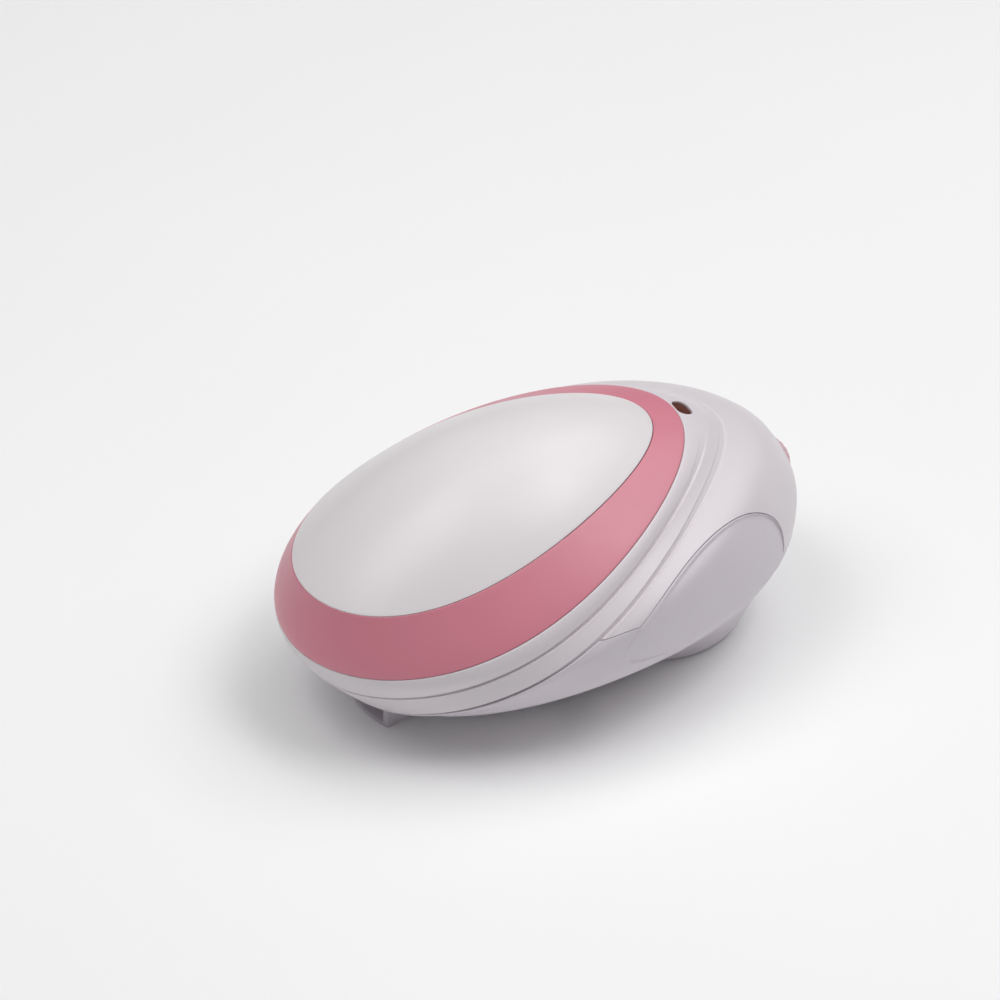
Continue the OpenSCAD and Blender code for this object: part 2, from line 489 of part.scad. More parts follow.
// screws
module screw(h, head_r = 2, head_h = 1.3, r = 0.8) { // head up
  difference() {
    union() { translate([0, 0, 0.02]) cylinder(r = head_r, h = head_h, $fn = 36); translate([0, 0, -h]) cylinder(r = r, h = h + 0.1, $fn = 24); }
    translate([0, 0, head_h]) cube([head_r * 1.3, 0.5, 1], center = true);
    translate([0, 0, head_h]) cube([0.5, head_r * 1.3, 1], center = true);
  }
}
module board_screws() { color("silver") for (p = board_at, m = [-1, 1]) translate([p[0], m * p[1], board_top]) screw(4.4); }
module tray_screws() { color("silver") for (p = tray_at, m = [-1, 1]) translate([p[0], m * p[1], 18]) screw(7, 2.1, 1.3, 0.84); }
module housing_screws() {
  color("silver") for (p = case_at, m = [-1, 1]) translate([p[0], m * p[1], 12.5]) mirror([0, 0, 1]) screw(p[2] - 12.5 + 5.5, 2.1, 1.3, 0.84);
}

top_cover();
trim_ring();
upper_housing();
lower_housing();
led_window();
battery_door();
battery_pad();
battery_tray();
battery_9v();
battery_terminals();
battery_snap();
battery_lead_red();
battery_lead_black();
probe_housing();
probe_face();
probe_seal();
crystal_transmit();
crystal_receive();
probe_backing();
probe_shield();
probe_cable();
main_board();
controller_chip();
amplifier_chip();
clock_crystal();
capacitors();
chip_parts();
shield_can();
choke_coil();
battery_socket();
probe_socket();
status_led();
volume_wheel();
pot_rotor();
wheel_screw();
volume_pot();
headphone_jack();
recorder_jack();
jack_board();
jack_leads();
board_screws();
tray_screws();
housing_screws();
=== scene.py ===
import bpy, bmesh, math
import numpy as np
from mathutils import Vector, Matrix


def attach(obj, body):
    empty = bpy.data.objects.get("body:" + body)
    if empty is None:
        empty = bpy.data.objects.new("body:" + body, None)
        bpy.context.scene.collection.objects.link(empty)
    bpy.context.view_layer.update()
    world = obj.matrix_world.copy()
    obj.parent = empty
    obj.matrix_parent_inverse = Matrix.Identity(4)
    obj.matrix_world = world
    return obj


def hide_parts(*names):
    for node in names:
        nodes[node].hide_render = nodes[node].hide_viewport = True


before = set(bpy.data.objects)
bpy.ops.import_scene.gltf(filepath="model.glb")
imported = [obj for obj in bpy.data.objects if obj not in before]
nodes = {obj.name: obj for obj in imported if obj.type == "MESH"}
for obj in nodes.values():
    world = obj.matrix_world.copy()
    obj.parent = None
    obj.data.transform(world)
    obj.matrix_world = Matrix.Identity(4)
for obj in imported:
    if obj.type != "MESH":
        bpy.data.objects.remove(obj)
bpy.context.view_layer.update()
MM = 0.001

# ------------------------------------------------------------------ outer skin, in mm, as in the CAD
SEC = np.array([
    [-45.7, 20.4, 20.7, -0.18, 0.000, 29.4, 43.8, 6.0, -5.5],
    [-48.5, 25.7, 28.7, -0.14, 0.008, 18.7, 42.9, 4.9, -5.6],
    [-45.1, 30.2, 30.0, -0.19, 0.018, 12.0, 41.2, 6.1, -4.4],
    [-39.6, 34.1, 31.8, -0.25, 0.020, 6.4, 38.8, 8.1, -3.3],
    [-38.4, 41.2, 33.15, -0.128, 0.010, 6.1, 35.85, 6.1, -1.3],
    [-37.4, 47.7, 32.35, -0.078, 0.015, 5.3, 28.85, 2.4, 0.3],
    [-36.0, 47.15, 29.85, -0.016, 0.001, 4.6, 18.55, 2.0, 1.2],
    [-33.6, 40.95, 25.65, -0.004, 0.0, 3.3, 9.0, 1.6, 2.4],
    [-30.6, 36.4, 17.0, 0.00, 0.000, 2.2, 2.2, 0.0, 0.0]])
EXT = np.vstack([2 * SEC[0] - SEC[1], SEC, 2 * SEC[-1] - SEC[-2]])
PROBE_X, HOLE_R, FACE_R, FACE_T, NECK_R = 22.3, 14.9, 14.0, 1.6, 15.73


def sec(s):
    s = np.asarray(s, float)
    i = np.clip(np.floor(s).astype(int), 0, 7)
    f = (s - i)[..., None]
    a, b, c, d = EXT[i], EXT[i + 1], EXT[i + 2], EXT[i + 3]
    return 0.5 * (2 * b + (c - a) * f + (2 * a - 5 * b + 4 * c - d) * f ** 2 + (3 * b - 3 * c + d - a) * f ** 3)


def sec_pt(q, t, r=1.0):
    t = np.radians(t)
    q = [q[..., k] for k in range(9)]
    h = q[4]
    ex = (q[0] + q[1]) / 2 + r * (q[1] - q[0]) / 2 * (np.cos(t) + h * np.cos(3 * t)) / (1 + h)
    y = r * q[2] * (np.sin(t) - h * np.sin(3 * t)) / (1 + h) * (1 + q[3] * np.cos(t))
    u = (ex - q[0]) / (q[1] - q[0])
    z = q[5] + (q[6] - q[5]) * u + q[7] * 4 * u * (1 - u) + q[8] * (y / q[2]) ** 2
    return np.stack(np.broadcast_arrays(0.9999 * ex, 0.9992 * y, z), -1)


def fold(t):
    t = np.mod(t, 360.0)
    return np.where(t > 180, 360 - t, t)


def skin(s, t):
    s, t = np.broadcast_arrays(np.asarray(s, float), np.asarray(t, float))
    p = sec_pt(sec(s), t)
    p[..., 0] -= 1.1 * np.exp(-(fold(t) / 17) ** 4 - ((s - 5.05) / 0.6) ** 4)
    return p


def normal(s, t):
    a = skin(s + 0.02, t) - skin(s - 0.02, t)
    b = skin(s, t + 0.3) - skin(s, t - 0.3)
    n = np.cross(b, a)
    n /= np.linalg.norm(n, axis=-1, keepdims=True)
    return -n


def tangent(s, t):
    """along s, outward and down"""
    a = skin(s + 0.02, t) - skin(s - 0.02, t)
    return a / np.linalg.norm(a, axis=-1, keepdims=True)


def per_s(s, t):
    """mm of skin for one unit of s"""
    return np.linalg.norm(skin(s + 0.02, t) - skin(s - 0.02, t), axis=-1) / 0.04


def cover_pt(r, t, dz=0.0):
    r, t = np.broadcast_arrays(np.asarray(r, float), np.asarray(t, float))
    p = sec_pt(np.broadcast_to(SEC[0], r.shape + (9,)), t, r)
    p[..., 2] += 4.9 * (1 - np.abs(r) ** 2.2) + dz
    return p


def core(p):
    c = np.zeros_like(p)
    c[..., 0] = 0.6 * p[..., 0]
    c[..., 2] = 16 + 0.15 * p[..., 0]
    return c


def deeper(p, w):
    d = p - core(p)
    return p - w * d / np.linalg.norm(d, axis=-1, keepdims=True)


def smooth(a):
    c = np.clip(a, 0, 1)
    return c * c * (3 - 2 * c)


def seam(t):
    a = np.maximum(fold(t), 25)
    arch = 3.51 + 0.00085 * (a - 68.5) ** 2 + 0.315 * np.exp((43.8 - a) / 3.3) + 1.7 / (1 + np.exp((a - 40.5) / 0.35))
    raw = 3 + (arch - 3) * (1 - np.clip((a - 88.8) / 6.4, 0, 1))
    return 5.9 - 0.25 * np.log1p(np.exp((5.9 - raw) / 0.25))


def edge_above(t, gap=0.05):
    a = fold(t)
    return np.minimum(seam(a), seam(a + gap / 0.62)) - gap / per_s(seam(a), t)


def edge_below(t, gap=0.045):
    a = fold(t)
    return np.maximum(seam(a), seam(a - gap / 0.62)) + gap / per_s(seam(a), t)


# ------------------------------------------------------------------ moulded relief of the housings
def tab(a, xs, ys):
    return np.interp(a, xs, ys)


G1_W = ([0, 20, 40, 60, 90, 120, 150, 180], [2.2, 2.0, 1.6, 1.25, 1.15, 0.9, 0.55, 0.45])
G1_D = ([0, 14, 26, 40, 60, 90, 120, 150, 180], [0.0, 0.0, 0.10, 0.26, 0.42, 0.5, 0.46, 0.36, 0.32])
G2_W = ([0, 30, 45, 60, 90, 120, 150, 180], [2.2, 2.1, 1.9, 1.4, 1.2, 0.95, 0.55, 0.45])
G2_D = ([0, 30, 45, 60, 90, 120, 150, 180], [0.16, 0.2, 0.3, 0.45, 0.52, 0.48, 0.38, 0.32])


def groove(d, w, depth):
    """a step down along a ramp, then a quick rise to the next band; d in mm from its deepest line"""
    u = np.clip((d + 0.72 * w) / (0.72 * w), 0, 1)
    ramp = 0.42 * smooth(u / 0.2) + 0.58 * u
    v = np.clip(d / (0.28 * w), 0, 1)
    return depth * np.where(d <= 0, ramp, 1 - smooth(v))


def relief_upper(s, t):
    a = fold(t)
    d1 = (s - 2) * per_s(2.0 + 0 * t, t)
    d2 = (s - 3) * per_s(3.0 + 0 * t, t)
    return groove(d1, tab(a, *G1_W), tab(a, *G1_D)) + groove(d2, tab(a, *G2_W), tab(a, *G2_D))


def relief_lower(s, t):
    """shallow grip panel on each side, its border soft"""
    a = fold(t)
    below = (s - seam(t)) * per_s(seam(t), t)
    left = np.interp(s, [3.4, 3.85, 4.03, 4.42, 4.63, 4.77, 4.91, 5.14, 5.5, 6.0, 6.6], [85, 89.2, 91.2, 95.4, 96.9, 97.1, 96.5, 94.5, 89, 74, 40])
    m = smooth((left - a) / 0.9 + 0.5) * smooth((below - 0.3) / 0.7) * smooth((6.1 - s) / 1.2) * smooth((a - 22) / 16)
    bead = np.exp(-((a - left - 0.45) / 0.42) ** 2) * smooth((s - 4.0) / 0.25) * smooth((5.3 - s) / 0.5)
    return 0.38 * m - 0.09 * bead


def edge_rows(p, n, tg, r, steps=4):
    """quarter round at a shell's edge: p on the skin at the edge, tg pointing off the edge"""
    out = []
    for k in range(1, steps + 1):
        f = math.pi / 2 * k / steps
        out.append(p - r * (1 - math.cos(f)) * n - r * (1 - math.sin(f)) * tg)
    return out


def rows_to_obj(name, rows, top=None, bottom=None, closed=False, merge=0.002):
    """mesh from loops of points in mm; closed joins the last loop to the first"""
    bm = bmesh.new()
    loops = [[bm.verts.new(Vector(p) * MM) for p in row] for row in rows]
    n = len(loops[0])
    pairs = list(zip(loops[:-1], loops[1:]))
    if closed:
        pairs.append((loops[-1], loops[0]))
    for a, b in pairs:
        for j in range(n):
            k = (j + 1) % n
            bm.faces.new((a[j], a[k], b[k], b[j]))
    for c, loop in ((top, loops[0]), (bottom, loops[-1])):
        if c is not None:
            v = bm.verts.new(Vector(c) * MM)
            for j in range(n):
                bm.faces.new((loop[j], loop[(j + 1) % n], v))
    bmesh.ops.remove_doubles(bm, verts=bm.verts, dist=merge * MM)
    bmesh.ops.dissolve_degenerate(bm, edges=bm.edges, dist=merge * MM * 0.5)
    bmesh.ops.recalc_face_normals(bm, faces=bm.faces)
    return bm_obj(name, bm)


def bm_obj(name, bm):
    me = bpy.data.meshes.new(name)
    bm.to_mesh(me)
    bm.free()
    ob = bpy.data.objects.new(name, me)
    bpy.context.scene.collection.objects.link(ob)
    return ob


def replace_mesh(ob, me):
    old = ob.data
    ob.modifiers.clear()
    ob.data = me
    me.name = ob.name
    bpy.data.meshes.remove(old)


def apply_mods(ob):
    bpy.context.view_layer.update()
    dg = bpy.context.evaluated_depsgraph_get()
    me = bpy.data.meshes.new_from_object(ob.evaluated_get(dg))
    replace_mesh(ob, me)


def boolean(ob, tool, op="DIFFERENCE"):
    m = ob.modifiers.new("cut", "BOOLEAN")
    m.operation = op
    m.object = tool
    m.solver = "MANIFOLD"
    n0 = len(ob.data.polygons)
    bpy.context.view_layer.update()
    dg = bpy.context.evaluated_depsgraph_get()
    me = bpy.data.meshes.new_from_object(ob.evaluated_get(dg))
    if len(me.polygons) == 0:
        m.solver = "EXACT"
        bpy.context.view_layer.update()
        dg = bpy.context.evaluated_depsgraph_get()
        me = bpy.data.meshes.new_from_object(ob.evaluated_get(dg))
        print("BOOLEAN by the exact solver:", ob.name, tool.name)
    replace_mesh(ob, me)
    tm = tool.data
    bpy.data.objects.remove(tool)
    bpy.data.meshes.remove(tm)
    return ob


def shade(ob, angle=32):
    me = ob.data
    me.shade_smooth()
    me.set_sharp_from_angle(angle=math.radians(angle))
    return ob


def bevel(ob, width, segments=3, angle=35):
    m = ob.modifiers.new("bevel", "BEVEL")
    m.width = width * MM
    m.segments = segments
    m.limit_method = "ANGLE"
    m.angle_limit = math.radians(angle)
    m.use_clamp_overlap = True
    apply_mods(ob)
    return ob


def lathe(name, profile, centre=(0, 0, 0), n=192):
    """closed solid of revolution about z from a profile of (r, z) in mm"""
    rows = []
    top = bottom = None
    prof = list(profile)
    if prof[0][0] <= 1e-6:
        top = (centre[0], centre[1], centre[2] + prof[0][1])
        prof = prof[1:]
    if prof[-1][0] <= 1e-6:
        bottom = (centre[0], centre[1], centre[2] + prof[-1][1])
        prof = prof[:-1]
    ang = np.linspace(0, 2 * math.pi, n, endpoint=False)
    for r, z in prof:
        rows.append(np.stack([centre[0] + r * np.cos(ang), centre[1] + r * np.sin(ang), 0 * ang + centre[2] + z], -1))
    return rows_to_obj(name, rows, top, bottom, closed=(top is None and bottom is None))


def outline(l, w, r, n=10):
    """rounded rectangle, counterclockwise"""
    pts = []
    for cx, cy, a0 in ((l / 2 - r, w / 2 - r, 0), (-l / 2 + r, w / 2 - r, 90), (-l / 2 + r, -w / 2 + r, 180), (l / 2 - r, -w / 2 + r, 270)):
        for k in range(n + 1):
            a = math.radians(a0 + 90 * k / n)
            pts.append((cx + r * math.cos(a), cy + r * math.sin(a)))
    return pts


def prism(name, pts, z0, z1, m=None):
    """closed prism on an outline; m places it (mm)"""
    bm = bmesh.new()
    lo = [bm.verts.new((x, y, z0)) for x, y in pts]
    hi = [bm.verts.new((x, y, z1)) for x, y in pts]
    n = len(pts)
    for j in range(n):
        bm.faces.new((lo[j], lo[(j + 1) % n], hi[(j + 1) % n], hi[j]))
    bm.faces.new(lo[::-1])
    bm.faces.new(hi)
    bmesh.ops.recalc_face_normals(bm, faces=bm.faces)
    if m is not None:
        bmesh.ops.transform(bm, matrix=m, verts=bm.verts)
    bmesh.ops.scale(bm, vec=(MM, MM, MM), verts=bm.verts)
    return bm_obj(name, bm)


def loft(name, loops, m=None):
    """closed solid through outlines with the same number of points, each (points, z), or 3-D points"""
    rows = [[Vector(p) for p in loop] for loop in loops]
    if m is not None:
        rows = [[m @ p for p in row] for row in rows]
    c0 = sum(rows[0], Vector()) / len(rows[0])
    c1 = sum(rows[-1], Vector()) / len(rows[-1])
    return rows_to_obj(name, rows, c0, c1, merge=0.0005)


def block(name, a, b):
    return prism(name, [(a[0], a[1]), (b[0], a[1]), (b[0], b[1]), (a[0], b[1])], a[2], b[2])


def cyl(name, r, z0, z1, m=None, n=96, r2=None):
    c = [(math.cos(2 * math.pi * k / n), math.sin(2 * math.pi * k / n)) for k in range(n)]
    if r2 is None:
        return prism(name, [(r * x, r * y) for x, y in c], z0, z1, m)
    return loft(name, [[(r * x, r * y, z0) for x, y in c], [(r2 * x, r2 * y, z1) for x, y in c]], m)


def place(loc, rot=(0, 0, 0)):
    from mathutils import Euler
    return Matrix.Translation(loc) @ Euler([math.radians(a) for a in rot], "XYZ").to_matrix().to_4x4()


# ------------------------------------------------------------------ cover, trim ring and housings
# angles round the shells, closer together at the rear end of the parting line and at the grip's lower border
more = np.concatenate([np.arange(39.8, 44.6, 0.15), np.arange(88.0, 98.4, 0.16)])
T = np.unique(np.round(np.concatenate([np.arange(640) * 360.0 / 640, more, 360 - more]), 4))
T = T[np.concatenate([[True], np.diff(T) > 0.05])]
N_T = len(T)


def make_cover():
    L = np.linalg.norm(cover_pt(1.0, T) - cover_pt(0.98, T), axis=-1) / 0.02
    g = 0.05
    end = 1 - g / L
    rs = [0.03, 0.08, 0.15, 0.22, 0.3, 0.38, 0.46, 0.54, 0.62, 0.69, 0.76, 0.82, 0.87, 0.91, 0.94, 0.965, 0.98]
    rows = [cover_pt(r, T) for r in rs]
    p = cover_pt(end, T)
    b = cover_pt(end, T + 0.3) - cover_pt(end, T - 0.3)
    tg = p - cover_pt(end - 0.01, T)
    tg /= np.linalg.norm(tg, axis=-1, keepdims=True)
    n = np.cross(tg, b)
    n /= np.linalg.norm(n, axis=-1, keepdims=True)
    n *= np.sign(n[:, 2:3])
    rows.append(cover_pt(end - 0.25 / L, T))
    rows += edge_rows(p, n, tg, 0.14)
    low = rows[-1] - 1.7 * np.array([0, 0, 1.0])
    rows.append(low)
    for r in (0.95, 0.7, 0.35, 0.1):
        rows.append(cover_pt(r, T, -2.0))
    return rows_to_obj("cover_shell", rows, cover_pt(0.0, 0.0), cover_pt(0.0, 0.0, -2.0))


def make_ring():
    l0, l1 = per_s(0 * T, T), per_s(1 + 0 * T, T)
    s0, s1 = 0.05 / l0, 1 - 0.04 / l1
    r = 0.14
    p0, n0, t0 = skin(s0, T), normal(s0, T), tangent(s0, T)
    p1, n1, t1 = skin(s1, T), normal(s1, T), tangent(s1, T)
    rows = edge_rows(p0, n0, -t0, r)[::-1]
    a, b = s0 + (r + 0.03) / l0, s1 - (r + 0.03) / l1
    for f in np.linspace(0, 1, 17):
        rows.append(skin(a + (b - a) * f, T))
    rows += edge_rows(p1, n1, t1, r)
    rows.append(deeper(skin(s1, T), 1.7))
    for f in (0.8, 0.55, 0.3):
        rows.append(deeper(skin(f + 0 * T, T), 1.7))
    rows.append(deeper(skin(0.1 + 0 * T, T), 1.7))
    rows += [cover_pt(0.985, T, -3.4), cover_pt(0.93, T, -3.4), cover_pt(0.93, T, -2.15), cover_pt(1.002, T, -2.15)]
    return rows_to_obj("trim_band", rows, closed=True)


def make_upper():
    l1, l2, l3 = per_s(1 + 0 * T, T), per_s(2 + 0 * T, T), per_s(3 + 0 * T, T)
    a = fold(T)
    w1, w2 = tab(a, *G1_W), tab(a, *G2_W)
    s_top = 1 + 0.035 / l1
    sm = seam(T)
    ls = per_s(sm, T)
    s_end = edge_above(T)
    r = 0.13
    p0, n0, t0 = skin(s_top, T), normal(s_top, T), tangent(s_top, T)
    rows = edge_rows(p0, n0, -t0, 0.22)[::-1]
    ss = []
    prof = np.array([-0.78, -0.74, -0.71, -0.68, -0.65, -0.62, -0.59, -0.5, -0.4, -0.3, -0.2, -0.1, -0.05, 0, 0.03, 0.07, 0.11, 0.15, 0.19, 0.23, 0.27, 0.31, 0.36])
    a0, a1 = s_top + 0.34 / l1, 2 + prof[0] * w1 / l2
    for f in np.linspace(0, 1, 12):
        ss.append(a0 + (a1 - a0) * f)
    for q in prof[1:]:
        ss.append(2 + q * w1 / l2)
    b0, b1 = ss[-1], 3 + prof[0] * w2 / l3
    for f in np.linspace(0, 1, 12)[1:]:
        ss.append(b0 + (b1 - b0) * f)
    for q in prof[1:]:
        ss.append(3 + q * w2 / l3)
    c0, c1 = ss[-1], s_end - (r + 0.02) / ls
    for f in np.linspace(0, 1, 34)[1:]:
        ss.append(c0 + (c1 - c0) * np.where(c1 > c0, f, 1.0))
    lim = s_end - (r + 0.02) / ls
    for s in ss:
        s = np.minimum(s, lim)
        rows.append(skin(s, T) - relief_upper(s, T)[:, None] * normal(s, T))
    pe, ne, te = skin(s_end, T), normal(s_end, T), tangent(s_end, T)
    pe = pe - relief_upper(lim, T)[:, None] * ne
    rows += edge_rows(pe, ne, te, r)
    # inner side
    inner = [deeper(skin(s_end, T), 2.0)]
    for f in (0.93, 0.84, 0.72, 0.6, 0.48, 0.36, 0.24, 0.12):
        inner.append(deeper(skin(s_top + (s_end - s_top) * f, T), 2.0))
    inner.append(deeper(skin(s_top, T), 2.0))
    rows += inner
    return rows_to_obj("upper_case", rows, closed=True, merge=0.004)


def make_lower(name="lower_case"):
    sm = seam(T)
    ls = per_s(sm, T)
    s_start = edge_below(T)
    r = 0.14
    p0, n0, t0 = skin(s_start, T), normal(s_start, T), tangent(s_start, T)
    rows = edge_rows(p0, n0, -t0, r)[::-1]
    a0 = s_start + (r + 0.02) / ls
    near = [a0 + d / ls for d in (0, 0.12, 0.24, 0.36, 0.48, 0.6, 0.75, 0.9, 1.05, 1.2, 1.4, 1.7)]
    ss = list(near)
    for f in np.linspace(0, 1, 116)[1:]:
        ss.append(near[-1] + (8 - near[-1]) * f)
    for s in ss:
        rows.append(skin(s, T) - relief_lower(s, T)[:, None] * normal(s, T))
    for f in (0.97, 0.93, 0.85, 0.7, 0.5, 0.3, 0.12):
        rows.append(sec_pt(np.broadcast_to(SEC[8], (N_T, 9)), T, f))
    bottom_c = np.array([(SEC[8][0] + SEC[8][1]) / 2, 0, 2.2])
    # inner side, a second skin joined at the rim
    inner = [sec_pt(np.broadcast_to(SEC[8], (N_T, 9)), T, f) + np.array([0, 0, 2.0]) for f in (0.12, 0.5, 0.85, 0.94)]
    for f in (0.1, 0.22, 0.34, 0.46, 0.58, 0.7, 0.82, 0.92, 1.0):
        inner.append(deeper(skin(8 + (s_start - 8) * f, T), 2.0))
    bm = bmesh.new()
    L1 = [[bm.verts.new(Vector(p) * MM) for p in row] for row in rows]
    L2 = [[bm.verts.new(Vector(p) * MM) for p in row] for row in inner]
    c1 = bm.verts.new(Vector(bottom_c) * MM)
    c2 = bm.verts.new(Vector(bottom_c + np.array([0, 0, 2.0])) * MM)
    n = N_T
    for L in (L1, L2):
        for a, b in zip(L[:-1], L[1:]):
            for j in range(n):
                k = (j + 1) % n
                bm.faces.new((a[j], a[k], b[k], b[j]))
    for j in range(n):
        k = (j + 1) % n
        bm.faces.new((L1[-1][j], L1[-1][k], c1))
        bm.faces.new((L2[0][k], L2[0][j], c2))
        bm.faces.new((L2[-1][j], L2[-1][k], L1[0][k], L1[0][j]))
    bmesh.ops.remove_doubles(bm, verts=bm.verts, dist=0.002 * MM)
    bmesh.ops.recalc_face_normals(bm, faces=bm.faces)
    return bm_obj(name, bm)


JACK_FACE = Vector((-41.9, 0, 9.3))


def jack_m(side):
    return Matrix.Translation((JACK_FACE.x, side * 6.0, JACK_FACE.z)) @ Matrix.Rotation(math.radians(225), 4, "Y")


LED_M = Matrix.Translation((27.35, 0, 42.25)) @ Matrix.Rotation(math.radians(20), 4, "Y")
LED_L, LED_W, LED_R = 2.9, 4.1, 1.3
WHEEL_X, WHEEL_Z, WHEEL_R, WHEEL_T = 38.2, 25.2, 9.98, 2.8
DOOR = dict(x0=-35.6, x1=4.2, w=28.4, r=4.0)
CASE_AT = [(-4, 19.2), (-4, -19.2)]

def underside(x, y):
    """height of the outer skin over the belly, at x and y"""
    flat_half = (SEC[8][1] - SEC[8][0]) / 2
    s, t = 7.0 + 0 * x, np.degrees(np.arctan2(y / 25.0, (x - 3.5) / 37.0))
    for k in range(14):
        p = skin(s, t)
        a = (skin(s + 0.01, t) - p) / 0.01
        b = (skin(s, t + 0.05) - p) / 0.05
        dx, dy = x - p[..., 0], y - p[..., 1]
        det = a[..., 0] * b[..., 1] - a[..., 1] * b[..., 0]
        s = np.clip(s + np.clip((dx * b[..., 1] - dy * b[..., 0]) / det, -0.4, 0.4), 5.2, 8)
        t = t + np.clip((a[..., 0] * dy - a[..., 1] * dx) / det, -8, 8)
    mid = (SEC[8][1] + SEC[8][0]) / 2
    inside = ((x - mid) / flat_half) ** 2 + (y / SEC[8][2]) ** 2 < 1
    return np.where(inside, 2.2, skin(s, t)[..., 2])


def make_neck():
    """flared neck round the probe, run out softly into the belly"""
    n = 384
    phi = np.arange(n) * 2 * math.pi / n
    rim = [(14.4, 0.5), (NECK_R - 0.22, 0.5), (NECK_R - 0.02, 0.53), (NECK_R + 0.15, 0.62), (NECK_R + 0.27, 0.76), (NECK_R + 0.36, 0.95), (NECK_R + 0.43, 1.1)]
    loops = [[(PROBE_X + r * math.cos(f), r * math.sin(f), z) for f in phi] for r, z in rim]
    k = 2.2
    r_all = np.concatenate([NECK_R + 0.43 + np.arange(1, 34) * 0.1, NECK_R + 3.73 + np.arange(1, 24) * 0.22])
    for r in r_all:
        x, y = PROBE_X + r * np.cos(phi), r * np.sin(phi)
        zs, zc = underside(x, y), 0 * x + (r - NECK_R) / 0.43
        h = np.maximum(k - np.abs(zs - zc), 0) / k
        z = np.minimum(zs, zc) - h * h * k / 4 + 0.006
        z = np.where(zc - zs > k, zs + 0.006 + 0.06 * np.minimum(zc - zs - k, 8), z)
        loops.append(np.stack([x, y, z], -1).tolist())
    last = np.array(loops[-1])
    top = last + [0, 0, 1.2]
    loops.append(top.tolist())
    for r in (20.0, 18.0, 16.0, 14.4):
        x, y = PROBE_X + r * np.cos(phi), r * np.sin(phi)
        loops.append(np.stack([x, y, underside(x, y) + 1.4], -1).tolist())
    return rows_to_obj("neck", loops, closed=True, merge=0.0005)


cover = make_cover()
ring = make_ring()
upper = make_upper()
lower = make_lower()
lid = make_lower("battery_lid")

# openings in the upper housing
boolean(upper, block("t", (44, -7.6, WHEEL_Z - 0.5), (54, 7.6, WHEEL_Z + WHEEL_T + 0.5)))
boolean(upper, cyl("t", WHEEL_R + 0.4, WHEEL_Z - 0.5, WHEEL_Z + WHEEL_T + 0.5, Matrix.Translation((WHEEL_X, 0, 0)), 160))
for side in (-1, 1):
    boolean(upper, cyl("t", 3.1, -8, 8, jack_m(side), 96))
boolean(upper, prism("t", outline(LED_L + 0.16, LED_W + 0.16, LED_R + 0.08), -5, 3, LED_M))

# small pit where the parting line leaves the second groove
for a in (94.8, 265.2):
    p, m = skin(3.1, a), normal(3.1, a)
    boolean(upper, cyl("t", 0.24, -0.9, 0.6, Matrix.Translation(p.tolist()) @ Vector(m).to_track_quat("Z", "Y").to_matrix().to_4x4(), 24))

# openings in the lower housing
boolean(lower, make_neck(), "UNION")
boolean(lower, cyl("t", HOLE_R + 0.1, -1, 9.5, Matrix.Translation((PROBE_X, 0, 0)), 240))
mid = (DOOR["x0"] + DOOR["x1"]) / 2
boolean(lower, prism("t", [(x + mid, y) for x, y in outline(DOOR["x1"] - DOOR["x0"], DOOR["w"], DOOR["r"], 16)], -1, 10))
for x, y in CASE_AT:
    boolean(lower, cyl("t", 2.3, -1, 12.5, Matrix.Translation((x, y, 0)), 64))
lid_plan = [(x + mid, y) for x, y in outline(DOOR["x1"] - DOOR["x0"] - 0.5, DOOR["w"] - 0.5, DOOR["r"] - 0.25, 16)]
boolean(lid, prism("t", lid_plan, -1, 10), "INTERSECT")


# front foot and finger catch of the battery lid
def make_catch():
    R, w = 20.9, 8.7
    prof = [(-37, 0), (-34.2, 0), (-29.4, 1.55), (-28.7, 2.35), (-28.6, 3.2), (-28.6, 5.6), (-37, 5.6)]
    body = cyl("lid_catch", R, 0, 5.6, Matrix.Translation((-36.1 + R, 0, 0)), 512)
    boolean(body, block("t", (-37, -w, 0), (-28.6, w, 5.6)), "INTERSECT")
    side = prism("t", prof, -w - 1, w + 1, Matrix.Rotation(math.radians(90), 4, "X"))
    boolean(body, side, "INTERSECT")
    scoop = cyl("t", R + 2, 0, 8, Matrix.Translation((-36.1 + R, 0, 0.8)), 256)
    boolean(scoop, block("t2", (-39, -w + 0.9, 0.8), (-31.4, w - 0.9, 8)), "INTERSECT")
    boolean(body, scoop)
    boolean(body, block("t", (-40, -20, 3.6), (-34.6, 20, 11.6)))
    bevel(body, 0.14, 2, 30)
    return body


lid_catch = make_catch()
lid_bits = []
for y in (-8, 8):
    lid_bits.append(block("b", (1.4, y - 2, 3.8), (3.8, y + 2, 5.7)))
    lid_bits.append(block("b", (1.7, y - 2, 4.5), (5.8, y + 2, 5.7)))
lid_bits.append(block("b", (-31.2, -5, 3.9), (-30.0, 5, 8)))
for y in (-10.6, 10.6):
    lid_bits.append(block("b", (-24, y - 0.6, 3.8), (0, y + 0.6, 6)))
for b in lid_bits:
    boolean(lid, b, "UNION")


# probe ring, face and window
def arc(cx, cy, r, a0, a1, n=6):
    return [(cx + r * math.cos(math.radians(a0 + (a1 - a0) * k / n)), cy + r * math.sin(math.radians(a0 + (a1 - a0) * k / n))) for k in range(n + 1)]


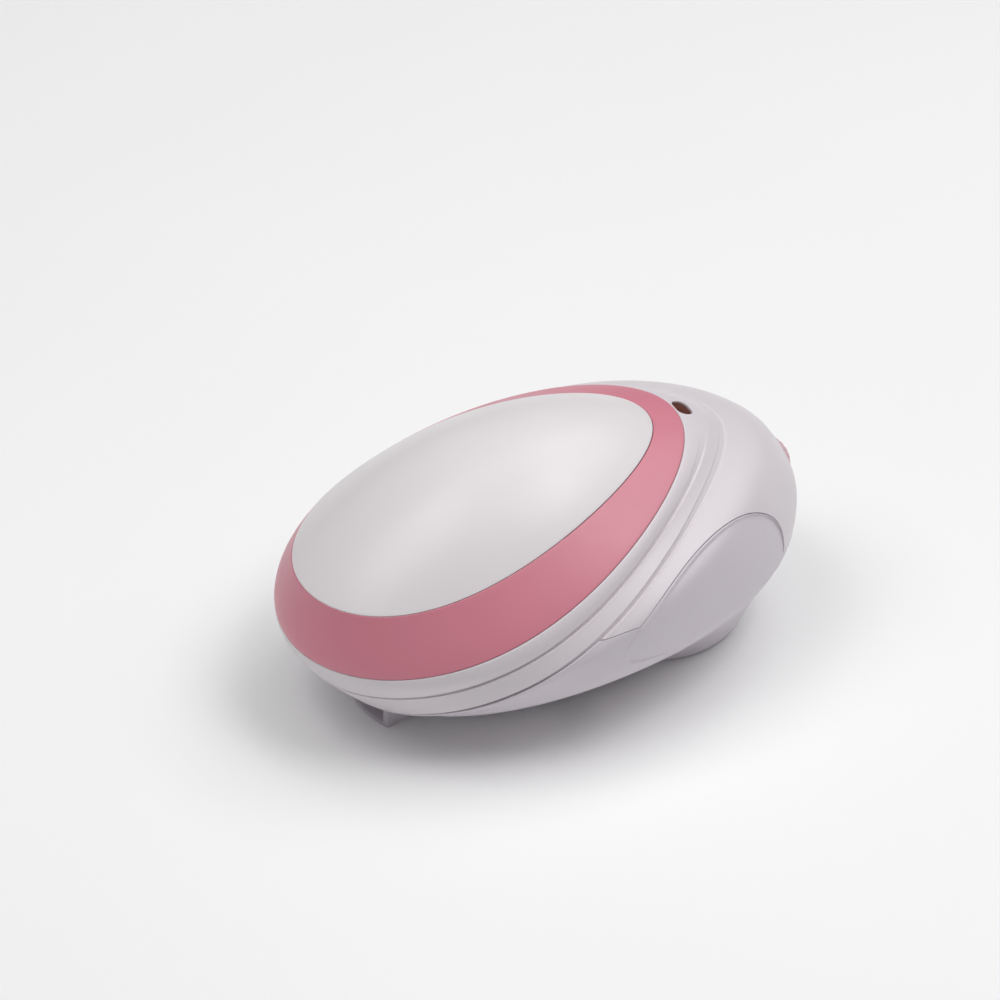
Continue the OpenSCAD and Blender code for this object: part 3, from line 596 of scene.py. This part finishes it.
prof = [(FACE_R + 0.06, 2.0), (FACE_R + 0.06, 0.62)] + arc(FACE_R + 0.21, 0.65, 0.15, 180, 270, 4) \
    + arc(HOLE_R - 0.3, 0.8, 0.3, 270, 360, 6) + [(HOLE_R, 2.0), (HOLE_R, 4.0), (HOLE_R, 7.9), (FACE_R - 3, 7.9), (FACE_R - 3, 6.9), (FACE_R - 0.6, 6.9), (FACE_R - 0.6, 2.0)]
probe_ring = lathe("probe_ring", prof, (PROBE_X, 0, 0), 256)
prof = [(0, 0.02)] + [(r, 0.02 * (1 - r / 13)) for r in (3, 6, 9, 11, 12.6)] + arc(FACE_R - 0.6, 0.6, 0.6, 270, 360, 7) + [(FACE_R, FACE_T), (0, FACE_T)]
probe_pad = lathe("probe_pad", prof, (PROBE_X, 0, 0), 256)

# indicator window
loops = []
o = outline(LED_L, LED_W, LED_R)
for k, z in ((1.0, -2.8), (1.0, -0.34), (0.975, -0.22), (0.92, -0.13), (0.8, -0.06), (0.55, -0.01), (0.25, 0.01)):
    loops.append([(x * k if k < 1 else x, y * k if k < 1 else y, z) for x, y in o])
window = loft("lamp_window", loops, LED_M)


# thumbwheel
def make_wheel():
    n = 36 * 14
    ang = np.arange(n) * 2 * math.pi / n
    ph = (ang * 36 / (2 * math.pi)) % 1.0
    bite = np.exp(-((ph - 0.5) / 0.17) ** 2)
    rim = [(8.6, 0.0, 0.2), (9.2, 0.02, 0.5), (9.62, 0.16, 1), (9.86, 0.42, 1), (9.96, 0.75, 1), (WHEEL_R, 1.1, 1), (WHEEL_R, 1.7, 1), (9.96, 2.05, 1), (9.86, 2.38, 1), (9.62, 2.64, 1), (9.2, 2.78, 0.5), (8.6, 2.8, 0.2)]
    prof = [(1.5, 2.8, 0), (1.5, 0.3, 0), (2.2, 0.0, 0), (3.8, 0.0, 0), (4.0, 0.12, 0), (4.1, 0.6, 0), (4.4, 0.7, 0), (7.2, 0.7, 0), (7.5, 0.6, 0), (7.6, 0.12, 0), (7.8, 0.0, 0)] + rim + [(6.0, 2.8, 0), (2.4, 2.8, 0)]
    rows = []
    for r, z, k in prof:
        rr = r - 0.16 * k * bite
        rows.append(np.stack([WHEEL_X + rr * np.cos(ang), rr * np.sin(ang), WHEEL_Z + z + 0 * ang], -1))
    return rows_to_obj("thumb_wheel", rows, closed=True)


wheel = make_wheel()


# ------------------------------------------------------------------ materials
def new_mat(name):
    m = bpy.data.materials.new(name)
    m.use_nodes = True
    nt = m.node_tree
    for n in list(nt.nodes):
        nt.nodes.remove(n)
    out = nt.nodes.new("ShaderNodeOutputMaterial")
    b = nt.nodes.new("ShaderNodeBsdfPrincipled")
    nt.links.new(b.outputs[0], out.inputs[0])
    return m, nt, b


def coords(nt):
    return nt.nodes.new("ShaderNodeTexCoord").outputs["Object"]


def noise(nt, vec, scale, detail=3.0, rough=0.5):
    n = nt.nodes.new("ShaderNodeTexNoise")
    n.inputs["Scale"].default_value = scale
    n.inputs["Detail"].default_value = detail
    n.inputs["Roughness"].default_value = rough
    nt.links.new(vec, n.inputs["Vector"])
    return n.outputs["Fac"]


def ramp(nt, fac, stops):
    r = nt.nodes.new("ShaderNodeValToRGB")
    e = r.color_ramp.elements
    while len(e) < len(stops):
        e.new(0.5)
    for k, (p, c) in enumerate(stops):
        e[k].position = p
        e[k].color = (*c, 1) if len(c) == 3 else c
    nt.links.new(fac, r.inputs[0])
    return r.outputs[0]


def map_range(nt, fac, a, b, c, d):
    n = nt.nodes.new("ShaderNodeMapRange")
    for k, v in zip(("From Min", "From Max", "To Min", "To Max"), (a, b, c, d)):
        n.inputs[k].default_value = v
    nt.links.new(fac, n.inputs["Value"])
    return n.outputs["Result"]


def bump(nt, h, strength, dist, normal=None):
    n = nt.nodes.new("ShaderNodeBump")
    n.inputs["Strength"].default_value = strength
    n.inputs["Distance"].default_value = dist
    nt.links.new(h, n.inputs["Height"])
    if normal is not None:
        nt.links.new(normal, n.inputs["Normal"])
    return n.outputs["Normal"]


def plastic(name, col, rough=0.35, var=0.02, grain=0.00002, spec=0.5, coat=0.0, sss=0.0, wear=0.0):
    """moulded plastic: fine spark-eroded grain, faint cloudiness of colour, uneven gloss"""
    m, nt, b = new_mat(name)
    v = coords(nt)
    cloud = noise(nt, v, 45, 4, 0.55)
    lo = [max(c * (1 - var), 0) for c in col]
    hi = [min(c * (1 + var), 1) for c in col]
    nt.links.new(ramp(nt, cloud, [(0.3, lo), (0.7, hi)]), b.inputs["Base Color"])
    fine = noise(nt, v, 5200, 2, 0.6)
    smear = noise(nt, v, 160, 5, 0.6)
    nt.links.new(map_range(nt, smear, 0.3, 0.7, rough - 0.03, rough + 0.04), b.inputs["Roughness"])
    nt.links.new(bump(nt, fine, 0.35, grain), b.inputs["Normal"])
    b.inputs["Specular IOR Level"].default_value = spec
    b.inputs["Coat Weight"].default_value = coat
    b.inputs["Coat Roughness"].default_value = 0.25
    b.inputs["Subsurface Weight"].default_value = sss
    if sss:
        b.inputs["Subsurface Radius"].default_value = (0.0012, 0.0008, 0.0006)
        b.inputs["Subsurface Scale"].default_value = 1.0
    return m


def metal(name, col, rough=0.3, brushed=0.0):
    m, nt, b = new_mat(name)
    v = coords(nt)
    mp = nt.nodes.new("ShaderNodeMapping")
    mp.inputs["Scale"].default_value = (1, 1 if not brushed else 14, 1)
    nt.links.new(v, mp.inputs["Vector"])
    f = noise(nt, mp.outputs[0], 900, 4, 0.6)
    nt.links.new(ramp(nt, f, [(0.25, [c * 0.86 for c in col]), (0.75, [min(1, c * 1.08) for c in col])]), b.inputs["Base Color"])
    nt.links.new(map_range(nt, f, 0.2, 0.8, rough - 0.08, rough + 0.1), b.inputs["Roughness"])
    nt.links.new(bump(nt, f, 0.15, 0.00002), b.inputs["Normal"])
    b.inputs["Metallic"].default_value = 1.0
    return m


WHITE = plastic("shell_white", (0.741, 0.691, 0.722), 0.36, 0.012)
COVER = plastic("cover_white", (0.811, 0.772, 0.788), 0.33, 0.01)
# lower housing and lid: the same white plastic as the shells, coloured darker as painted shade for their
# downward-facing sides
LOWER_SHADED_WHITE = plastic("lower_white_painted_shade", (0.68, 0.632, 0.682), 0.40, 0.012)
PINK = plastic("trim_pink", (0.684, 0.234, 0.3), 0.38, 0.02)
PINKW = plastic("wheel_pink", (0.665, 0.455, 0.495), 0.38, 0.03)
# probe ring: the shells' white plastic, darker and bluish as painted shade and painted cool reflection of the
# downward-facing boss, not a grey plastic
PROBE_TINTED_WHITE = plastic("probe_ring_painted_cool_shade", (0.70, 0.70, 0.76), 0.38, 0.015)
PAD = plastic("probe_window_grey", (0.52, 0.55, 0.60), 0.22, 0.02, grain=0.000006)
BLACK = plastic("black_moulded", (0.025, 0.025, 0.028), 0.42, 0.12)
TRAY = plastic("tray_grey", (0.07, 0.07, 0.078), 0.5, 0.1)
IVORY = plastic("nylon_ivory", (0.62, 0.56, 0.42), 0.45, 0.04)
CHIP = plastic("chip_epoxy", (0.018, 0.018, 0.02), 0.55, 0.2)


def lens_mat():
    m, nt, b = new_mat("lens_dark_red")
    v = coords(nt)
    f = noise(nt, v, 700, 3, 0.5)
    nt.links.new(ramp(nt, f, [(0.35, (0.088, 0.024, 0.016)), (0.65, (0.12, 0.036, 0.026))]), b.inputs["Base Color"])
    nt.links.new(map_range(nt, f, 0.3, 0.7, 0.3, 0.42), b.inputs["Roughness"])
    b.inputs["Specular IOR Level"].default_value = 0.2
    return m


def board_mat():
    m, nt, b = new_mat("board_green")
    v = coords(nt)
    br = nt.nodes.new("ShaderNodeTexBrick")
    br.inputs["Scale"].default_value = 420
    br.inputs["Mortar Size"].default_value = 0.035
    br.inputs["Color1"].default_value = (0.012, 0.10, 0.04, 1)
    br.inputs["Color2"].default_value = (0.010, 0.085, 0.035, 1)
    br.inputs["Mortar"].default_value = (0.04, 0.20, 0.09, 1)
    nt.links.new(v, br.inputs["Vector"])
    f = noise(nt, v, 300, 3)
    mix = nt.nodes.new("ShaderNodeMix")
    mix.data_type = "RGBA"
    nt.links.new(f, mix.inputs["Factor"])
    nt.links.new(br.outputs["Color"], mix.inputs[6])
    mix.inputs[7].default_value = (0.012, 0.10, 0.045, 1)
    nt.links.new(mix.outputs[2], b.inputs["Base Color"])
    nt.links.new(bump(nt, br.outputs["Fac"], 0.3, 0.00003), b.inputs["Normal"])
    nt.links.new(map_range(nt, f, 0.3, 0.7, 0.25, 0.38), b.inputs["Roughness"])
    return m


def cell_mat():
    """battery sleeve: dark wrap with a metallic band, scuffed"""
    m, nt, b = new_mat("cell_sleeve")
    v = coords(nt)
    sx = nt.nodes.new("ShaderNodeSeparateXYZ")
    nt.links.new(v, sx.inputs[0])
    band = ramp(nt, map_range(nt, sx.outputs[0], -0.0275, 0.021, 0, 1), [(0.0, (0.42, 0.42, 0.44)), (0.03, (0.42, 0.42, 0.44)), (0.035, (0.03, 0.035, 0.05)), (0.62, (0.035, 0.04, 0.055)), (0.63, (0.45, 0.33, 0.12)), (0.70, (0.45, 0.33, 0.12)), (0.71, (0.03, 0.035, 0.05)), (0.965, (0.03, 0.035, 0.05)), (0.97, (0.42, 0.42, 0.44))])
    f = noise(nt, v, 220, 5, 0.65)
    mix = nt.nodes.new("ShaderNodeMix")
    mix.data_type = "RGBA"
    nt.links.new(map_range(nt, f, 0.62, 0.75, 0.0, 0.25), mix.inputs["Factor"])
    nt.links.new(band, mix.inputs[6])
    mix.inputs[7].default_value = (0.2, 0.2, 0.21, 1)
    nt.links.new(mix.outputs[2], b.inputs["Base Color"])
    nt.links.new(map_range(nt, f, 0.3, 0.7, 0.26, 0.4), b.inputs["Roughness"])
    b.inputs["Metallic"].default_value = 0.35
    return m


def foam_mat(name, col, scale=2400):
    m, nt, b = new_mat(name)
    v = coords(nt)
    vo = nt.nodes.new("ShaderNodeTexVoronoi")
    vo.inputs["Scale"].default_value = scale
    nt.links.new(v, vo.inputs["Vector"])
    nt.links.new(ramp(nt, vo.outputs["Distance"], [(0.1, [c * 0.5 for c in col]), (0.6, col)]), b.inputs["Base Color"])
    nt.links.new(bump(nt, vo.outputs["Distance"], 0.8, 0.0001), b.inputs["Normal"])
    nt.links.new(map_range(nt, vo.outputs["Distance"], 0, 1, 0.8, 0.95), b.inputs["Roughness"])
    return m


LENS, BOARD, CELL = lens_mat(), board_mat(), cell_mat()
FOAM = foam_mat("foam_dark", (0.05, 0.05, 0.055))
RUBBER = foam_mat("seal_rubber", (0.025, 0.025, 0.028), 5200)
STEEL = metal("steel_zinc", (0.58, 0.58, 0.60), 0.32, 1)
BRASS = metal("brass_plain", (0.62, 0.45, 0.18), 0.3)
COPPER = metal("copper_wire", (0.58, 0.24, 0.10), 0.35, 1)
CERAM = plastic("piezo_ceramic", (0.55, 0.46, 0.27), 0.5, 0.06)
RED = plastic("lead_red", (0.45, 0.015, 0.012), 0.38, 0.05)
WGREY = plastic("lead_grey", (0.30, 0.30, 0.32), 0.42, 0.05)
SLEEVE = plastic("capacitor_sleeve", (0.03, 0.045, 0.14), 0.28, 0.08)
LEDM = plastic("lamp_epoxy", (0.45, 0.03, 0.02), 0.12, 0.05, grain=0.000003)

node_mat = {
    "battery_pad": FOAM, "battery_tray": TRAY, "battery_9v": CELL, "battery_terminals": STEEL, "battery_snap": BLACK,
    "battery_lead_red": RED, "battery_lead_black": BLACK, "probe_seal": RUBBER, "crystal_transmit": CERAM,
    "crystal_receive": CERAM, "probe_backing": FOAM, "probe_shield": BRASS, "probe_cable": WGREY, "main_board": BOARD,
    "controller_chip": CHIP, "amplifier_chip": CHIP, "clock_crystal": STEEL, "capacitors": SLEEVE, "chip_parts": CERAM,
    "shield_can": STEEL, "choke_coil": COPPER, "battery_socket": IVORY, "probe_socket": IVORY, "status_led": LEDM,
    "pot_rotor": STEEL, "wheel_screw": STEEL, "volume_pot": BLACK, "headphone_jack": BLACK, "recorder_jack": BLACK,
    "jack_board": BOARD, "jack_leads": WGREY, "board_screws": STEEL, "tray_screws": STEEL, "housing_screws": STEEL,
    "top_cover": COVER, "trim_ring": PINK, "upper_housing": WHITE, "lower_housing": LOWER_SHADED_WHITE, "led_window": LENS,
    "battery_door": LOWER_SHADED_WHITE, "probe_housing": PROBE_TINTED_WHITE, "probe_face": PAD, "volume_wheel": PINKW}


def paint(ob, mat):
    ob.data.materials.clear()
    ob.data.materials.append(mat)
    for p in ob.data.polygons:
        p.material_index = 0


for n, ob in nodes.items():
    paint(ob, node_mat[n])

# ------------------------------------------------------------------ what each piece stands for
for ob, node, body, mat, slot in (
        (cover, "top_cover", "root", COVER, "white_shell"),
        (ring, "trim_ring", "root", PINK, "pink_trim"),
        (upper, "upper_housing", "root", WHITE, "white_shell"),
        (lower, "lower_housing", "root", LOWER_SHADED_WHITE, "grey_shell"),
        (window, "led_window", "root", LENS, "dark_lens"),
        (lid, "battery_door", "door", LOWER_SHADED_WHITE, "grey_shell"),
        (probe_ring, "probe_housing", "root", PROBE_TINTED_WHITE, "probe_ring"),
        (probe_pad, "probe_face", "root", PAD, "probe_window"),
        (wheel, "volume_wheel", "volume_knob", PINKW, "pink_wheel")):
    paint(ob, mat)
    shade(ob)
    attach(ob, body)
    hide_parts(node)
paint(lid_catch, LOWER_SHADED_WHITE)
shade(lid_catch, 40)
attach(lid_catch, "door")

# ------------------------------------------------------------------ floor, lights, camera
bpy.ops.mesh.primitive_plane_add(size=6, location=(0, 0, 0))
floor = bpy.context.object
floor.name = "floor"
fm, nt, b = new_mat("floor_pale")
v = coords(nt)
f = noise(nt, v, 6, 2)
nt.links.new(ramp(nt, f, [(0.3, (0.93, 0.93, 0.93)), (0.7, (0.95, 0.95, 0.95))]), b.inputs["Base Color"])
b.inputs["Roughness"].default_value = 0.9
b.inputs["Specular IOR Level"].default_value = 0.1
b.inputs["Emission Color"].default_value = (1, 1, 1, 1)
b.inputs["Emission Strength"].default_value = 0.03
floor.data.materials.append(fm)


def area(name, loc, target, size, power, col=(1, 1, 1), size_y=None):
    l = bpy.data.lights.new(name, "AREA")
    l.energy = power
    l.color = col
    l.shape = "RECTANGLE" if size_y else "SQUARE"
    l.size = size
    if size_y:
        l.size_y = size_y
    o = bpy.data.objects.new(name, l)
    o.location = loc
    d = Vector(target) - Vector(loc)
    o.rotation_euler = d.to_track_quat("-Z", "Y").to_euler()
    bpy.context.scene.collection.objects.link(o)
    return o


area("top", (0, 0.05, 0.9), (0, 0, 0.02), 0.8, 2.02)
area("key", (0.3, -0.3, 0.82), (0, 0, 0.02), 0.35, 1.62)
area("key_side", (0.5, -0.29, 0.69), (0, 0, 0.02), 0.55, 0.74)
area("top_left", (-0.45, 0.1, 0.8), (0, 0, 0.02), 0.5, 2.27)
area("top_right", (0.45, 0.1, 0.8), (0, 0, 0.02), 0.5, 1.85)

w = bpy.data.worlds.new("studio")
bpy.context.scene.world = w
w.use_nodes = True
bg = w.node_tree.nodes["Background"]
bg.inputs[0].default_value = (0.98, 0.98, 1.0, 1)
bg.inputs[1].default_value = 0.12

cam = bpy.data.cameras.new("camera")
cam.sensor_width = 36
cam.lens = 4557.9 / 1000 * 36
cam.clip_start = 0.01
co = bpy.data.objects.new("camera", cam)
az, el = math.radians(-27.05), math.radians(37.48)
back = Vector((math.sin(az) * math.cos(el), -math.cos(az) * math.cos(el), math.sin(el)))
right = Vector((math.cos(az), math.sin(az), 0))
up = back.cross(right)
C = -7.12 * right - (-25.15) * up + 805.0 * back
co.matrix_world = Matrix((
    (right.x, up.x, back.x, C.x * MM), (right.y, up.y, back.y, C.y * MM), (right.z, up.z, back.z, C.z * MM), (0, 0, 0, 1)))
bpy.context.scene.collection.objects.link(co)
bpy.context.scene.camera = co
bpy.context.scene.view_settings.view_transform = "Standard"

bpy.context.view_layer.update()
